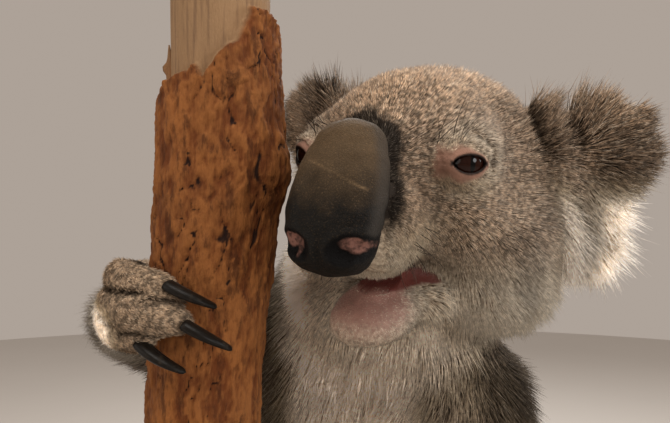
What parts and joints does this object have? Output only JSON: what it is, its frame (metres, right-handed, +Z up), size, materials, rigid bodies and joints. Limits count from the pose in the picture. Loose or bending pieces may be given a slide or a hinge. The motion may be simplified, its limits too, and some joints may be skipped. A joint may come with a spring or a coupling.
{
  "type": "koala",
  "caption": "Life-size koala, clinging to a cut length of tree trunk on a plain display stand, head turned round the trunk and mouth a little open.",
  "frame": {"origin": "on the floor, under the middle of the stand's base", "axes": "+Z up, -Y the way the animal faces and the front of the stand, +X the animal's left"},
  "size_m": [0.4, 0.33, 0.655],
  "materials": {
    "coat": "grey-brown fur, pale grey below",
    "pale_coat": "short pale fur and pink lip",
    "nose_skin": "bare, pebbled, satin",
    "eye": "wet gloss",
    "claw": "satin horn",
    "trunk": "rough flaking bark, bare wood at the top",
    "stand": "satin black"
  },
  "bodies": {
    "root": {"abdomen": "coat", "claw_foot_L2": "claw", "claw_foot_L3": "claw", "claw_foot_L4": "claw", "claw_foot_L5": "claw", "claw_foot_R2": "claw", "claw_foot_R3": "claw", "claw_foot_R4": "claw", "claw_foot_R5": "claw", "claw_hand_L1": "claw", "claw_hand_L2": "claw", "claw_hand_L3": "claw", "claw_hand_L4": "claw", "claw_hand_L5": "claw", "claw_hand_R1": "claw", "claw_hand_R2": "claw", "claw_hand_R3": "claw", "claw_hand_R4": "claw", "claw_hand_R5": "claw", "ear_L": "coat", "ear_R": "coat", "eye_L": "eye", "eye_R": "eye", "foot_L": "coat", "foot_R": "coat", "forearm_L": "coat", "forearm_R": "coat", "hand_L": "coat", "hand_R": "coat", "head": "coat", "lower_jaw": "pale_coat", "neck": "coat", "nose_pad": "nose_skin", "perch_trunk": "trunk", "shank_L": "coat", "shank_R": "coat", "stand_base": "stand", "stand_rod_1": "stand", "stand_rod_2": "stand", "thigh_L": "coat", "thigh_R": "coat", "thorax": "coat", "upper_arm_L": "coat", "upper_arm_R": "coat"}
  },
  "joints": []
}
